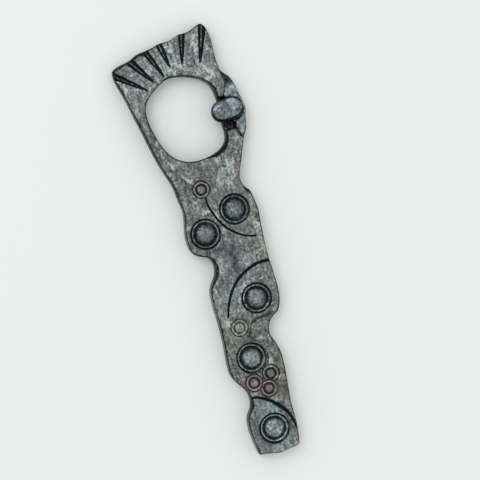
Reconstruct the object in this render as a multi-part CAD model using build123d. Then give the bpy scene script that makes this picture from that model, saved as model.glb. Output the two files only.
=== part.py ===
"""Hand-forged steel bottle opener: a flat forging with a cap lug riveted to its ring.

The frame: the back lies on z = 0, the struck face is up, +Y runs from the tail to the fan-shaped
head, and the origin is the middle of the plan's box. All sizes are in millimetres.
"""
from build123d import *
import os

# Driving dimensions
LENGTH = 165.0
BAR_THICKNESS = 6.0
FAN_THICKNESS = 4.4
EDGE_ROUND = 0.6
# How far a cutting solid stands clear of the surface that it cuts, and a length of nothing
CLEARANCE = 1.0
SAME_PLACE = 1e-6
# The bar is drawn thinner between these two, the second just past the fan's edge
TAPER_START_Y = 52.0
TAPER_END_Y = LENGTH / 2 + CLEARANCE

# The outline, clockwise in four stretches that meet at corners
FAN_EDGE = [
    (-22.5, 73.5), (-19.2, 74.8), (-15.9, 75.5), (-11.9, 77.2), (-7.6, 77.8), (-5.1, 78.3),
    (-3.2, 78.9), (0.0, 78.9), (3.2, 79.7), (5.9, 80.5), (8.2, 80.4), (11.0, 81.3), (14.3, 82.5),
]
RIGHT_SIDE = [
    (14.3, 82.5), (15.4, 81.8), (16.1, 79.6), (16.6, 76.6), (16.4, 71.0), (16.5, 65.8),
    (17.4, 63.0), (19.2, 61.0), (20.5, 58.4), (21.1, 55.0), (22.0, 51.6), (22.5, 48.8),
    (22.2, 46.4), (21.4, 43.4), (21.0, 40.9), (19.0, 37.0), (17.2, 33.1), (15.5, 28.9),
    (13.8, 25.2), (13.0, 21.8), (13.7, 19.0), (15.4, 17.0), (16.0, 14.4), (16.6, 10.4),
    (16.3, 5.0), (15.7, -3.0), (15.6, -11.0), (15.9, -21.0), (15.5, -25.4), (13.5, -30.3),
]
RIGHT_NOTCH = [
    (13.5, -30.3), (11.7, -31.4), (9.5, -33.4), (8.3, -35.8), (8.2, -38.2), (9.2, -41.0),
    (10.2, -44.4), (10.3, -51.0), (9.6, -58.5), (8.95, -65.0), (9.0, -71.0), (8.6, -76.5),
    (7.9, -81.0),
]
TAIL_END = [(7.9, -81.0), (6.8, -81.7), (3.6, -82.0), (0.6, -82.5), (-3.6, -81.8), (-8.0, -81.1)]
LEFT_SIDE = [
    (-8.0, -81.1), (-8.8, -76.0), (-9.1, -69.0), (-8.4, -66.2), (-6.4, -63.3), (-5.6, -60.0),
    (-6.2, -56.6), (-8.6, -52.9), (-10.3, -49.5), (-10.5, -45.0), (-9.8, -36.5), (-9.6, -27.0),
    (-9.6, -18.5), (-8.8, -15.0), (-6.6, -12.0), (-5.3, -9.2), (-5.3, -6.0), (-6.5, -3.8),
    (-9.4, -2.5), (-11.9, -0.3), (-12.8, 3.4), (-12.6, 7.4), (-11.7, 11.4), (-11.1, 15.0),
    (-11.6, 20.0), (-12.2, 25.2), (-14.1, 31.7), (-15.6, 36.9), (-16.9, 43.0), (-18.2, 49.6),
    (-19.5, 55.8), (-20.6, 61.5), (-22.0, 66.8), (-22.8, 70.8), (-22.5, 73.5),
]
RING_OPENING = [
    (-2.2, 65.5), (1.6, 65.1), (5.6, 63.8), (9.4, 61.7), (11.6, 59.3), (12.6, 56.4),
    (12.8, 50.0), (12.4, 44.0), (12.5, 39.6), (11.4, 36.8), (9.0, 34.7), (5.1, 33.25),
    (0.6, 32.7), (-3.9, 33.2), (-7.9, 35.1), (-11.0, 38.6), (-12.9, 43.0), (-14.3, 48.4),
    (-14.85, 53.4), (-13.8, 58.0), (-11.0, 61.1), (-7.0, 63.8),
]

# The cap lug: a round-ended stud across the ring's right side, with a tenon through the rim
LUG_CENTRE = (15.25, 48.5)
LUG_LEAN_DEG = 4.0
LUG_LENGTH = 11.8
LUG_WIDTH = 8.8
LUG_SEAT_Z = 3.0
LUG_TOP_Z = 9.0
LUG_TOP_ROUND = 2.8
LUG_FOOT_ROUND = 1.4
TENON_CENTRE = (17.4, 48.6)
TENON_RADIUS = 2.5

# Hollows hammered beside the lug: radius, how deep the hammer went, and the middle of each
HOLLOW_RADIUS = 9.0
HOLLOWS = [((20.6, 57.2), 1.7), ((21.0, 41.2), 1.4)]
CREASE_RADIUS = 2.2
CREASE_DEPTH = 1.5
CREASES = [((14.6, 54.1), 2.0), ((14.9, 42.6), 3.4)]

# Chisel cuts in the fan: middle of the mouth on the edge, tip, and width of the mouth
CHISEL_CUTS = [
    ((-22.8, 71.8), (-11.5, 62.9), 1.9), ((-15.6, 75.4), (-8.8, 65.6), 2.2),
    ((-9.0, 78.0), (-4.2, 66.3), 1.9), ((-3.0, 79.2), (-1.2, 69.2), 1.7),
    ((6.4, 80.8), (3.5, 69.2), 1.6), ((15.0, 82.4), (10.2, 67.8), 1.7),
]
CHISEL_TIP_RADIUS = 0.05

# Ring-punch marks: middle of each mark. A mark is a ring-shaped groove round a domed centre
LARGE_MARKS = [(7.65, 12.15), (-5.3, 5.8), (6.65, -22.7), (-1.3, -44.3), (-0.2, -72.4)]
LARGE_MARK_RADIUS = 5.9
LARGE_DOME_RADIUS = 4.3
LARGE_MARK_DEPTH = 0.75
SMALL_MARKS = [(-2.4, 22.3), (-2.35, -32.05), (-2.7, -54.0), (4.6, -52.0), (2.4, -57.4)]
SMALL_MARK_RADIUS = 3.4
SMALL_DOME_RADIUS = 2.1
SMALL_MARK_DEPTH = 0.45
GROOVE_WALL_SLOPE = 0.25
DOME_DROP_RATIO = 0.7
DOME_TOP_DROP = 0.03

# Chased lines: points along each, and the line's width
CHASED_LINES = [
    ([(-1.6, 19.0), (-1.6, 14.6), (0.6, 9.2), (4.2, 4.4), (8.8, 1.2), (12.8, -0.2)], 0.7),
    ([(15.2, -10.4), (8.4, -10.9), (3.4, -13.2), (-1.4, -17.6), (-4.4, -23.0), (-5.6, -26.9)], 0.8),
    ([(-4.8, -59.1), (-1.8, -60.0), (2.0, -62.6), (5.3, -66.1), (7.5, -70.2), (8.3, -74.5)], 0.9),
]
CHASED_DEPTH = 0.5


def spline_loop(stretches):
    """A closed face inside splines that meet end to end."""
    return make_face([Spline(*points) for points in stretches])


def bar_side_profile():
    """The bar seen from its side: full thickness, drawn thinner towards the fan's edge."""
    tail_y = -LENGTH / 2 - CLEARANCE
    corners = [
        (0, tail_y, 0), (0, TAPER_END_Y, 0), (0, TAPER_END_Y, FAN_THICKNESS),
        (0, TAPER_START_Y, BAR_THICKNESS), (0, tail_y, BAR_THICKNESS),
    ]
    profile = make_face(Polyline(*corners, close=True))
    return extrude(profile, amount=LENGTH / 2, dir=(1, 0, 0), both=True)


def forged_blank():
    """The bar's outline with the ring's opening, as thick as the drawn-out bar."""
    plan = spline_loop([FAN_EDGE, RIGHT_SIDE, RIGHT_NOTCH, TAIL_END, LEFT_SIDE])
    plan -= make_face(Spline(*RING_OPENING, periodic=True))
    return extrude(plan, amount=BAR_THICKNESS) & bar_side_profile()


def is_rim_edge(edge):
    """True for an edge that runs round the plan, and false for an upright one at a corner."""
    run = (edge @ 1) - (edge @ 0)
    is_upright = abs(run.Z) > SAME_PLACE and abs(run.X) < SAME_PLACE and abs(run.Y) < SAME_PLACE
    return not is_upright


def ring_mark(centre, radius, dome_radius, depth):
    """What one ring punch presses away: a groove with a sloped wall round a domed centre."""
    pressed = Cone(radius - GROOVE_WALL_SLOPE, radius, depth)
    dome_drop = depth * DOME_DROP_RATIO
    ball_radius = (dome_radius**2 + dome_drop**2) / (2 * dome_drop)
    ball = Pos(0, 0, depth / 2 - DOME_TOP_DROP - ball_radius) * Sphere(ball_radius)
    pressed -= Cylinder(dome_radius, depth) & ball
    return Pos(*centre, BAR_THICKNESS - depth / 2) * pressed


def face_height(y):
    """Height of the struck face above the back, at a distance y along the bar."""
    share = max(0.0, (y - TAPER_START_Y) / (TAPER_END_Y - TAPER_START_Y))
    return BAR_THICKNESS - share * (BAR_THICKNESS - FAN_THICKNESS)


def chisel_cut(mouth, tip, width):
    """A tapered cut: a slender cone that lies along the face and runs out at the tip."""
    start = Vector(*mouth, face_height(mouth[1]))
    end = Vector(*tip, face_height(tip[1]))
    ends = (Align.CENTER, Align.CENTER, Align.MIN)
    cone = Cone(width / 2, CHISEL_TIP_RADIUS, (end - start).length, align=ends)
    return Plane(origin=start, z_dir=end - start) * cone


def chased_line(points, width):
    """A narrow groove along a curve on the struck face."""
    band = extrude(trace(Spline(*points), width), amount=CHASED_DEPTH + CLEARANCE)
    return Pos(0, 0, BAR_THICKNESS - CHASED_DEPTH) * band


def hollow(centre, depth):
    """A dished hollow of the hammer's ball face."""
    return Pos(*centre, BAR_THICKNESS - depth + HOLLOW_RADIUS) * Sphere(HOLLOW_RADIUS)


def crease(centre, half_length):
    """A short groove across the rim, beside the lug."""
    cylinder = Rot(0, 90, 0) * Cylinder(CREASE_RADIUS, 2 * half_length)
    return Pos(*centre, BAR_THICKNESS - CREASE_DEPTH + CREASE_RADIUS) * cylinder


def make_cap_lug():
    """The stud with its rounded top, and the tenon that is peened flush with the back."""
    plan = Rot(0, 0, LUG_LEAN_DEG) * SlotOverall(LUG_LENGTH, LUG_WIDTH)
    stud = Pos(*LUG_CENTRE, LUG_SEAT_Z) * extrude(plan, amount=LUG_TOP_Z - LUG_SEAT_Z)
    stud = fillet(stud.edges().group_by(Axis.Z)[-1], LUG_TOP_ROUND)
    stud = fillet(stud.edges().group_by(Axis.Z)[0], LUG_FOOT_ROUND)
    tenon = Pos(*TENON_CENTRE, LUG_SEAT_Z / 2) * Cylinder(TENON_RADIUS, LUG_SEAT_Z)
    return stud + tenon


def make_opener_body(lug):
    """The forging with every struck feature, and the seat that the lug fills."""
    body = forged_blank()
    body = fillet(body.edges().filter_by(is_rim_edge), EDGE_ROUND)
    for centre, depth in HOLLOWS:
        body -= hollow(centre, depth)
    for centre, half_length in CREASES:
        body -= crease(centre, half_length)
    for mouth, tip, width in CHISEL_CUTS:
        body -= chisel_cut(mouth, tip, width)
    for centre in LARGE_MARKS:
        body -= ring_mark(centre, LARGE_MARK_RADIUS, LARGE_DOME_RADIUS, LARGE_MARK_DEPTH)
    for centre in SMALL_MARKS:
        body -= ring_mark(centre, SMALL_MARK_RADIUS, SMALL_DOME_RADIUS, SMALL_MARK_DEPTH)
    for points, width in CHASED_LINES:
        body -= chased_line(points, width)
    return body - lug


def main():
    """Make both pieces, centre them on the plan's box and write them."""
    lug = make_cap_lug()
    pieces = {"opener_body": make_opener_body(lug), "cap_lug": lug}
    middle = Compound(list(pieces.values())).bounding_box().center()
    os.makedirs("parts", exist_ok=True)
    for name, piece in pieces.items():
        export_step(Pos(-middle.X, -middle.Y, 0) * piece, f"parts/{name}.step")


main()
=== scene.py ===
import math
import bpy
import numpy as np
from mathutils import Matrix, Vector
from mathutils.geometry import delaunay_2d_cdt
from mathutils.kdtree import KDTree


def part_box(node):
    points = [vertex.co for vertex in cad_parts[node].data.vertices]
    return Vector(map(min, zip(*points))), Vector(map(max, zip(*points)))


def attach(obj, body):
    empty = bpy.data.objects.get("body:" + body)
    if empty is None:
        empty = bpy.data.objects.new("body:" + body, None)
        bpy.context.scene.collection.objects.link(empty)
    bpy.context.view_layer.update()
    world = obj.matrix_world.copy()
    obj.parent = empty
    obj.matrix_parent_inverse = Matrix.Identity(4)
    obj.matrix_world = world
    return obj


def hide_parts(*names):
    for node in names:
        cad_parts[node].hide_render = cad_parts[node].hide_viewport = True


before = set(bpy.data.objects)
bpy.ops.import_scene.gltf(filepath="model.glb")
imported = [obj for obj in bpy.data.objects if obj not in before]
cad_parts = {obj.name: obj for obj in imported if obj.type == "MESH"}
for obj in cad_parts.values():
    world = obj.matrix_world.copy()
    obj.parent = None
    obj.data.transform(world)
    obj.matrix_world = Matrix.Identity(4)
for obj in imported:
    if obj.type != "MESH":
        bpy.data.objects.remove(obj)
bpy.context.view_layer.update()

MM = 0.001

# -------- shape data
# The forging's plan comes from the CAD node. These say how its two faces and its edge are worked.
# Places are measured from the drawing's origin, which the shift below takes to the frame's origin.
DRAWING_SHIFT = (0.16, -0.27)
BODY_TOP = 6.0
FAN_THICKNESS = 4.4
TAPER_START_Y = 52.0
TAPER_END_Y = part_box("opener_body")[1].y / MM + 1.0

# The height where the CAD node is cut for its plan, and the steps and gaps of the new mesh
OUTLINE_LEVEL = 2.0
OUTLINE_STEP = 0.3
TOP_STEP = 0.34
TOP_RINGS = (0.07, 0.2, 0.4, 0.7, 1.05, 1.5)
BACK_STEP = 0.75
BACK_RINGS = (0.12, 0.4, 0.8)
GUIDE_STEP = 0.3
GUIDE_GAP = 0.09
RIM_GAP = 0.05
SLIVER_AREA = 0.0005
WALL_ROWS = 8

# The rolled edge: its width, drop and patina, and how raggedly it runs. Then the back's edge
# radius, and the least height of the back above the table
EDGE_WIDTH = 0.9
EDGE_DROP = 0.8
EDGE_PATINA = 0.88
EDGE_RAGGED = 0.12
BACK_EDGE = 0.3
BACK_LOWEST = 0.01

# Where the edge was worked: middle, reach, extra width, extra drop and patina
WORKED_EDGES = [
    ((-5.7, -9.1), 4.2, 1.3, 1.8, 0.86), ((-5.8, -61.5), 3.0, 0.3, 0.6, 0.92),
    ((11.8, 38.0), 2.2, 0.5, 0.8, 0.97), ((9.8, 35.0), 2.5, 1.2, 1.6, 0.97),
    ((6.5, 33.2), 2.2, 0.7, 0.8, 0.97), ((12.3, 57.0), 1.9, 0.7, 1.0, 0.75),
    ((-20.0, 74.0), 3.0, 0.7, 0.9, 0.85), ((-14.5, 76.0), 3.5, 0.6, 0.9, 0.85),
    ((-10.5, 77.4), 2.5, 0.8, 1.0, 0.95), ((14.4, 17.6), 1.8, 0.4, 0.8, 0.95),
    ((-9.3, -74.0), 4.5, -0.3, -0.2, 0.6), ((-10.3, -22.0), 5.0, -0.3, -0.2, 0.6),
]

# The hammer's ups and downs: height, size, seed and number of waves
HAMMER_WAVES = [(0.07, 9.0, 1, 14), (0.035, 3.5, 2, 14), (0.016, 1.3, 3, 30)]

# Soft hollows left by the hammer's ball face: middle, half sizes and depth
SOFT_HOLLOWS = [
    ((3.2, -8.5), (4.0, 6.5), 0.35), ((8.8, -36.6), (7.0, 7.0), 0.45), ((0.5, 35.0), (9.0, 3.0), 0.2),
    ((-4.0, -66.0), (4.0, 3.0), 0.2), ((-17.0, 60.0), (3.0, 6.0), 0.25), ((12.0, 66.0), (4.0, 4.0), 0.2),
    ((-12.0, 72.0), (3.0, 3.0), 0.15), ((0.0, 31.0), (7.0, 3.0), 0.15),
]

# Where the patina is rubbed brighter or left darker, and where soft shadows are painted darker, as beside the
# bright patch by the left notch: middle, half sizes and how much
WEAR_AND_SHADOW_PATCHES = [
    ((-5.0, 70.0), (13.0, 6.0), 0.5), ((9.0, 67.0), (5.0, 8.0), 0.8), ((8.5, 27.0), (4.0, 7.0), 0.6),
    ((-2.4, -7.4), (1.9, 4.2), 1.4), ((2.4, -7.5), (1.6, 5.5), -1.8), ((-17.0, 51.0), (1.5, 6.0), -0.2),
    ((-8.3, -45.0), (2.0, 8.0), -0.9), ((3.5, -37.0), (5.0, 4.0), -0.8), ((-19.5, 71.5), (3.0, 2.0), -0.3),
    ((-13.0, 41.0), (3.0, 8.0), -0.5), ((-4.0, 29.0), (5.0, 4.0), -0.5), ((-0.5, -65.0), (4.5, 3.0), 0.4),
    ((13.0, 0.0), (3.0, 10.0), 0.1), ((-1.5, -19.0), (2.0, 6.0), 0.6), ((0.0, -80.0), (7.0, 3.0), 0.8),
    ((8.0, -57.0), (3.0, 7.0), -0.7), ((-10.0, 2.0), (2.0, 5.0), -0.5), ((-3.8, -1.3), (4.0, 1.1), -2.6),
    ((-7.0, -25.0), (3.0, 8.0), 0.9), ((1.0, -4.0), (2.5, 4.0), -0.6), ((11.0, -35.0), (3.0, 6.0), -0.5),
    ((-16.5, 65.5), (2.5, 2.5), 0.8),
]

# Short rubs where the bare steel shows, and dark specks: start, end, half width and how much
RUBS = [
    ((10.0, 79.0), (9.6, 71.5), 0.4, 1.8), ((-16.4, 70.5), (-16.0, 70.0), 0.5, 2.2),
    ((-9.4, 69.0), (-9.0, 68.6), 0.5, 2.2), ((-20.0, 66.0), (-19.0, 64.5), 0.45, 2.0),
    ((-10.8, 63.5), (-8.8, 64.6), 0.4, 2.2), ((11.0, 67.5), (11.9, 64.8), 0.45, 2.2),
    ((13.2, 63.8), (13.4, 62.2), 0.9, 1.4), ((14.3, 74.5), (14.3, 72.5), 0.5, 1.8),
    ((1.1, 70.5), (1.3, 70.1), 0.5, 2.0), ((2.5, 69.3), (2.9, 68.0), 0.4, 2.0),
    ((-0.4, 66.5), (-0.2, 66.1), 0.5, 2.0), ((-9.7, 75.5), (-9.7, 74.0), 0.4, 1.6),
    ((-17.7, 60.5), (-17.7, 57.0), 1.0, 1.4), ((-11.2, 34.0), (-10.7, 32.5), 0.5, 2.2),
    ((-12.4, 38.6), (-12.2, 38.0), 0.5, 1.8), ((-8.3, 29.0), (-7.3, 27.8), 0.45, 2.2),
    ((-6.8, 27.0), (-6.0, 26.0), 0.4, 2.0), ((6.7, 31.8), (6.3, 30.5), 0.45, 2.0),
    ((9.5, 30.0), (9.5, 28.0), 0.9, 1.4), ((9.3, 23.0), (9.3, 21.0), 0.5, 2.0),
    ((4.3, 24.0), (5.0, 21.5), 0.45, 2.0), ((12.2, 30.5), (12.0, 29.0), 0.4, 1.8),
    ((16.0, 37.0), (15.8, 38.5), 0.4, 1.8), ((15.3, 39.0), (15.0, 36.5), 0.4, 1.6),
    ((-0.6, -8.4), (-0.7, -9.0), 0.5, 2.4), ((14.2, 7.5), (14.5, -8.5), 0.6, 1.2),
    ((13.3, 4.5), (13.6, 2.5), 0.5, 1.6), ((7.0, 68.8), (7.0, 68.2), 0.8, -2.0),
    ((12.8, 68.8), (12.8, 68.2), 0.8, -2.0), ((14.9, 7.2), (14.8, 6.6), 0.5, -4.0),
    ((4.8, -39.4), (4.9, -39.0), 0.5, -4.0), ((7.7, -47.8), (7.7, -47.2), 0.6, -3.0),
]

# Where the steel is bluer than the rest of the face, or browner: middle, half sizes and how much.
# Then how blue the whole face is
COOL_PATCHES = [
    ((3.0, -8.0), (4.5, 9.0), 0.7), ((-4.0, 67.0), (17.0, 9.0), 0.4), ((0.0, -75.0), (9.0, 9.0), 0.9),
    ((8.0, 26.0), (5.0, 8.0), 0.1), ((0.0, -65.0), (5.0, 3.5), 0.4), ((3.0, -45.0), (9.0, 12.0), -0.5),
    ((-1.5, -19.0), (2.5, 6.0), 0.5), ((-2.5, -7.5), (2.4, 4.5), -0.5), ((8.0, -58.0), (3.5, 8.0), -0.5),
    ((-9.0, -46.0), (3.0, 8.0), -0.4), ((12.5, 0.0), (3.0, 9.0), -0.3), ((-3.0, -1.5), (4.0, 1.8), 0.6),
]
COOL_FACE = 0.35

# The handle is rubbed smoother than the head: how smooth, and where that fades out
HANDLE_SMOOTH = 0.25
HANDLE_FADE_Y = (15.0, 40.0)

# The side walls: where their patina is darker or lighter, with middle, half sizes and how much,
# the patina on the handle, what the head has more, the most of it, and the depth of their dents
WALL_PATCHES = [
    ((-5.7, -9.0), (4.0, 4.5), 0.35), ((9.8, 61.5), (3.5, 4.0), -0.5), ((-10.0, -22.0), (3.0, 8.0), -0.3),
    ((-9.0, -74.0), (3.0, 7.0), -0.3), ((-5.8, -62.0), (3.0, 3.5), 0.35),
]
WALL_PATINA = 0.42
WALL_PATINA_HEAD = 0.33
WALL_PATINA_MOST = 0.85
WALL_DENT = 0.05

# Faint steps between hammered facets: points along each, the drop on its left, and the strength of the
# painted shadow beside it
FACET_EDGES = [
    ([(13.0, -29.8), (9.0, -30.4), (5.0, -30.8), (2.4, -32.0), (1.1, -34.6), (1.2, -37.2), (3.4, -39.6)],
     0.6, 0.8),
    ([(-10.4, -52.5), (-9.2, -48.0), (-8.9, -43.0), (-9.2, -37.0)], 0.12, 0.25),
    ([(-8.0, -16.5), (-5.0, -14.5), (-2.6, -12.2), (-0.4, -9.0), (-0.2, -5.5), (-1.6, -2.4)], -0.15, 0.3),
]
FACET_BLEND = 0.5
FACET_REACH = 4.0
# The painted shadow lies a little to the right of the step, and thins out past its middle
FACET_SHADE_SHIFT = 0.3
FACET_SHADE_REACH = 0.75
FACET_THINNING = 0.35

# Punch strikes, in order: middle, tilt direction in degrees, tilt, redness, shine and coolness
LARGE_STRIKES = [
    ((7.75, 11.75), 135, 0.20, 0.0, 0.1, 0.8), ((-5.4, 5.5), 200, 0.15, 0.0, 0.1, 0.5),
    ((6.85, -23.0), 130, 0.15, 0.0, 0.3, 0.7), ((-0.7, -44.8), 140, 0.1, 0.0, 0.5, 0.7),
    ((-1.2, -44.4), 140, 0.2, 0.0, 0.6, 0.7), ((-0.2, -72.7), 180, 0.1, 0.0, 1.3, 1.0),
    ((0.15, -72.55), 150, 0.15, 0.0, 1.3, 1.0),
]
SMALL_STRIKES = [
    ((-2.5, 22.1), 90, 0.2, 0.2, 0.3, 0.2), ((4.3, -52.0), 100, 0.2, 0.1, 0.0, 0.0),
    ((2.1, -57.3), 150, 0.2, 0.8, 0.0, 0.1), ((-2.8, -53.8), 80, 0.2, 0.8, 0.2, 0.1),
]
FLAT_STRIKES = [((-2.55, -32.1), 200, 0.2, 0.25, 0.8, 0.1)]
# Across each of the three punches: distance from its middle, height, and the patina
LARGE_PUNCH = [
    (0.0, -0.1, 0.0), (1.0, -0.12, 0.1), (1.8, -0.17, 0.26), (2.4, -0.28, 0.4), (2.8, -0.4, 0.5),
    (3.2, -0.55, 0.62), (3.6, -0.8, 0.8), (3.9, -1.0, 1.0), (4.5, -1.0, 1.0), (4.68, -0.82, 0.7),
    (4.82, -0.72, 0.33), (5.08, -0.74, 0.3), (5.22, -0.9, 0.75), (5.38, -1.0, 1.0), (5.75, -0.85, 1.0),
    (5.95, -0.3, 0.75), (6.12, -0.04, 0.3), (6.4, 0.02, 0.0),
]
SMALL_PUNCH = [
    (0.0, -0.06, 0.2), (0.9, -0.12, 0.25), (1.3, -0.2, 0.42), (1.6, -0.35, 0.85), (1.75, -0.4, 1.0),
    (2.2, -0.42, 1.0), (2.38, -0.34, 0.4), (2.5, -0.26, 0.1), (2.85, -0.26, 0.1), (3.0, -0.34, 0.5),
    (3.12, -0.4, 1.0), (3.45, -0.25, 1.0), (3.65, -0.03, 0.45), (3.9, 0.01, 0.0),
]
FLAT_PUNCH = [
    (0.0, -0.2, 0.4), (1.65, -0.25, 0.45), (1.85, -0.34, 0.9), (2.2, -0.34, 0.9), (2.38, -0.2, 0.3),
    (2.55, -0.14, 0.0), (2.95, -0.14, 0.0), (3.12, -0.3, 0.6), (3.25, -0.36, 1.0), (3.45, -0.3, 1.0),
    (3.65, -0.05, 0.4), (3.9, 0.0, 0.0),
]
PUNCHED = ((LARGE_PUNCH, LARGE_STRIKES), (SMALL_PUNCH, SMALL_STRIKES), (FLAT_PUNCH, FLAT_STRIKES))
# How much of the face's unevenness is left under a mark
LEFT_UNDER_MARK = 0.35

# Chisel cuts in the fan: middle of the mouth, tip, width of the mouth and depth there
CHISEL_CUTS = [
    ((-23.2, 72.1), (-11.0, 62.6), 2.6, 1.3), ((-15.7, 75.7), (-8.4, 65.1), 3.1, 1.3),
    ((-9.2, 78.2), (-4.0, 65.8), 2.5, 1.2), ((-3.2, 79.6), (-1.2, 68.8), 2.7, 1.2),
    ((6.5, 81.2), (3.2, 68.6), 2.7, 1.2), ((15.1, 82.8), (9.9, 67.2), 3.1, 1.4),
]
# A cut's width falls off to its tip by this power, and its tip is this wide on each side
CHISEL_TAPER = 0.57
CHISEL_TIP = 0.02
# Across a cut, as shares of its half width: height as a share of the depth, and the patina
CHISEL_SECTION = [
    (0.0, -0.78, 0.5), (0.13, -0.82, 0.62), (0.26, -1.0, 1.0), (0.65, -0.85, 1.0), (0.92, -0.15, 1.0),
    (1.1, 0.0, 0.3), (1.35, 0.0, 0.0),
]

# Chased lines: points along each, and half widths at its start, middle and end
CHASED_LINES = [
    ([(-1.6, 19.0), (-1.75, 16.5), (-1.1, 13.8), (1.0, 8.6), (4.2, 4.4), (8.8, 1.1), (12.8, -0.15)],
     (0.32, 0.42, 0.3)),
    ([(15.8, -10.4), (12.0, -10.2), (8.4, -10.9), (4.6, -12.6), (1.2, -14.9), (-2.2, -18.8),
      (-4.4, -23.0), (-5.6, -26.9)], (0.58, 0.58, 0.34)),
    ([(-4.9, -59.1), (-3.2, -59.4), (-1.0, -60.5), (2.0, -62.6), (5.3, -66.1), (7.4, -69.9),
      (8.4, -74.5)], (0.38, 0.68, 0.4)),
]
CHASED_DEPTH = 0.6
# Across a line, as shares of its half width: height as a share of the depth, and the patina
CHASED_SECTION = [(0.0, -1.0, 1.0), (0.5, -0.8, 1.0), (1.0, -0.12, 0.75), (1.4, 0.0, 0.0)]

# The lug: a pill-shaped stud across the ring's rim, its mesh's turns and rows, and the crease and
# the ring mark on its top. The crease is shifted a little to the right of its points
LUG_MIDDLE = (15.05, 48.5)
LUG_LEAN = math.radians(4.0)
LUG_LENGTH = 12.2
LUG_RADIUS = 4.3
LUG_HALF_STRAIGHT = 0.5 * LUG_LENGTH - LUG_RADIUS
LUG_SEAT = 3.0
LUG_FOOT = LUG_SEAT + 0.1
LUG_TOP = 8.8
LUG_TURNS = 144
LUG_ROWS = 64
LUG_CREASE = [(14.6, 53.2), (15.2, 51.2), (15.7, 49.2), (16.1, 47.4), (16.2, 46.0)]
LUG_CREASE_SHIFT = 0.1
LUG_RING = (12.1, 48.3)
LUG_RING_RADIUS = 1.5
# Painted highlights on the lug's top, and painted shade on its lower right: middle, half sizes and how much
LUG_HIGHLIGHTS_AND_SHADE = [
    ((17.5, 48.8), (0.5, 1.3), 1.6), ((17.4, 51.2), (1.6, 1.2), 1.12), ((10.4, 50.0), (0.9, 1.2), 0.96),
    ((20.0, 48.0), (1.4, 2.6), -1.44),
]

# The lug's tenon, which is peened into a countersink of the back: its end's height above the
# table and half its length in the mesh, then the countersink's radius and depth
TENON_MIDDLE = (17.4, 48.9)
TENON_RADIUS = 2.75
TENON_END = 0.06
TENON_HALF = 1.2
COUNTERSINK = 3.1
COUNTERSINK_DEPTH = 0.35

# The rim's leaf-shaped hollows and creases beside the lug: points along each, and the depths
PAD_EDGE = [(16.0, 65.9), (16.5, 62.5), (17.0, 60.2), (17.0, 58.4), (16.3, 56.2), (15.4, 54.7), (14.0, 53.0)]
LOWER_EDGE = [(16.0, 45.0), (16.4, 43.0), (16.9, 41.3), (17.4, 39.3), (18.1, 37.3), (18.6, 35.0)]
LOWER_CREVICE = [(12.2, 42.5), (14.0, 42.6), (16.0, 42.6)]
UPPER_CREASE = [(11.6, 52.8), (13.6, 53.4), (15.2, 53.1)]
UPPER_LEAF_DEPTH = 1.0
UPPER_LEAF_TIP = 0.8
LOWER_LEAF_DEPTH = 0.9


# -------- small measures
def smoothstep(low, high, value):
    """0 below low, 1 above high, and smooth between."""
    share = np.clip((value - low) / (high - low), 0.0, 1.0)
    return share * share * (3.0 - 2.0 * share)


def bump(x, y, middle, sizes):
    """A smooth hill of height 1 on the middle, with the given half sizes."""
    return np.exp(-((x - middle[0]) / sizes[0]) ** 2 - ((y - middle[1]) / sizes[1]) ** 2)


def rolling(x, y, size, seed, waves=14):
    """Smooth random ups and downs of about one unit, whose hills are about size across."""
    random = np.random.default_rng(seed)
    total = np.zeros_like(x)
    for _ in range(waves):
        turn, phase = random.uniform(0.0, 2.0 * math.pi, 2)
        length = 2.0 * size * random.uniform(0.7, 1.5)
        along = x * math.cos(turn) + y * math.sin(turn)
        total += np.sin(2.0 * math.pi * along / length + phase)
    return total * math.sqrt(2.0 / waves)


def smooth_path(points, step):
    """Points about a step apart on the smooth curve through the given points."""
    knots = np.array(points, float)
    slopes = np.gradient(knots, axis=0)
    path = []
    for start, end, leave, arrive in zip(knots[:-1], knots[1:], slopes[:-1], slopes[1:]):
        count = max(2, round(float(np.linalg.norm(end - start)) / step))
        for share in np.arange(count) / count:
            path.append((2 * share**3 - 3 * share**2 + 1) * start + (share**3 - 2 * share**2 + share) * leave
                        + (3 * share**2 - 2 * share**3) * end + (share**3 - share**2) * arrive)
    return np.array(path + [knots[-1]])


def beside_path(x, y, path):
    """Signed distance from a path, positive on its left, and the share of the path passed."""
    nearest = np.full(x.shape, np.inf)
    signed = np.zeros_like(x)
    passed = np.zeros_like(x)
    for index, (start, end) in enumerate(zip(path[:-1], path[1:])):
        run = end - start
        share = np.clip(((x - start[0]) * run[0] + (y - start[1]) * run[1]) / (run @ run), 0.0, 1.0)
        off_x = x - start[0] - share * run[0]
        off_y = y - start[1] - share * run[1]
        gap = np.hypot(off_x, off_y)
        closer = gap < nearest
        nearest = np.where(closer, gap, nearest)
        side = np.where(run[0] * off_y - run[1] * off_x >= 0.0, 1.0, -1.0)
        signed = np.where(closer, side * gap, signed)
        passed = np.where(closer, (index + share) / (len(path) - 1), passed)
    return signed, passed


def across(section, column, value):
    """One column of a cross-section, read at each value."""
    table = np.array(section)
    return np.interp(value, table[:, 0], table[:, column])


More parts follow.
